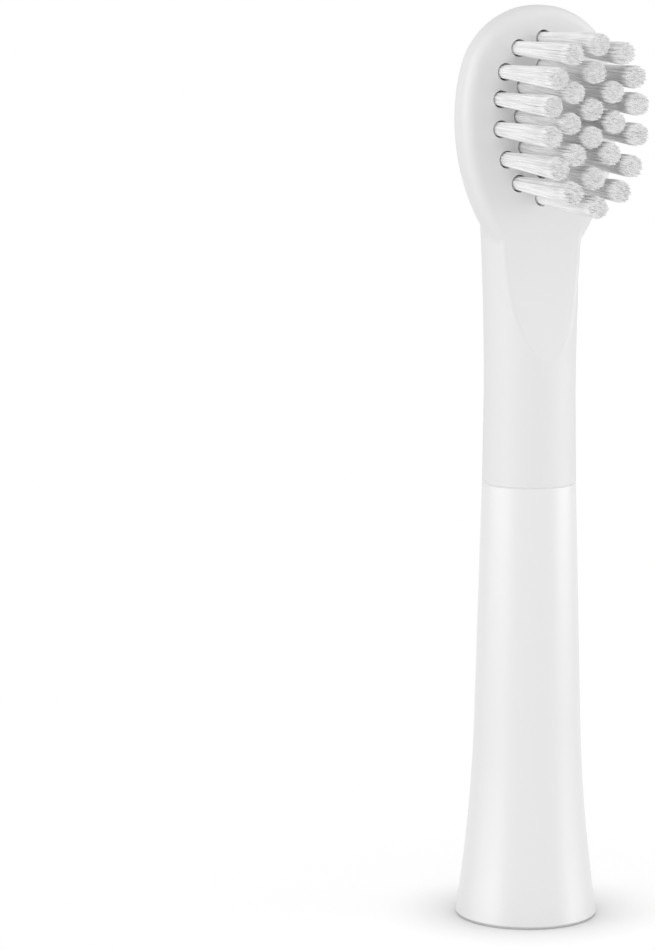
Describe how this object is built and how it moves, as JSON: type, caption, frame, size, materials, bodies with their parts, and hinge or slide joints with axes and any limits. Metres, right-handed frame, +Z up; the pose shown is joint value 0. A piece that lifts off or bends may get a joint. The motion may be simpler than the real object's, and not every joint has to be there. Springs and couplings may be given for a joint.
{
  "type": "electric toothbrush head",
  "caption": "Slim electric toothbrush head: a flared gloss sleeve, a satin neck with a scooped front and an oval plate set with white bristle tufts.",
  "frame": {"origin": "centre of the sleeve's mouth, on the surface that the head stands on", "axes": "+Z up along the neck; the bristles point towards -Y"},
  "size_m": [0.0138, 0.019, 0.076],
  "materials": {
    "satin_white_plastic": "satin moulded polypropylene",
    "gloss_white_plastic": "polished moulded ABS",
    "socket_plastic": "natural acetal",
    "spring_steel": "rolled stainless strip",
    "anchor_metal": "cut strip",
    "bristle_nylon": "drawn filament, rounded ends"
  },
  "bodies": {
    "root": {"flared_sleeve": "gloss_white_plastic", "neck_and_brush_plate": "satin_white_plastic", "drive_socket": "socket_plastic", "shaft_spring": "spring_steel", "tuft_anchors": "anchor_metal", "tuft_01": "bristle_nylon", "tuft_02": "bristle_nylon", "tuft_03": "bristle_nylon", "tuft_04": "bristle_nylon", "tuft_05": "bristle_nylon", "tuft_06": "bristle_nylon", "tuft_07": "bristle_nylon", "tuft_08": "bristle_nylon", "tuft_09": "bristle_nylon", "tuft_10": "bristle_nylon", "tuft_11": "bristle_nylon", "tuft_12": "bristle_nylon", "tuft_13": "bristle_nylon", "tuft_14": "bristle_nylon", "tuft_15": "bristle_nylon", "tuft_16": "bristle_nylon", "tuft_17": "bristle_nylon", "tuft_18": "bristle_nylon", "tuft_19": "bristle_nylon", "tuft_20": "bristle_nylon", "tuft_21": "bristle_nylon", "tuft_22": "bristle_nylon", "tuft_23": "bristle_nylon", "tuft_24": "bristle_nylon"}
  },
  "joints": []
}
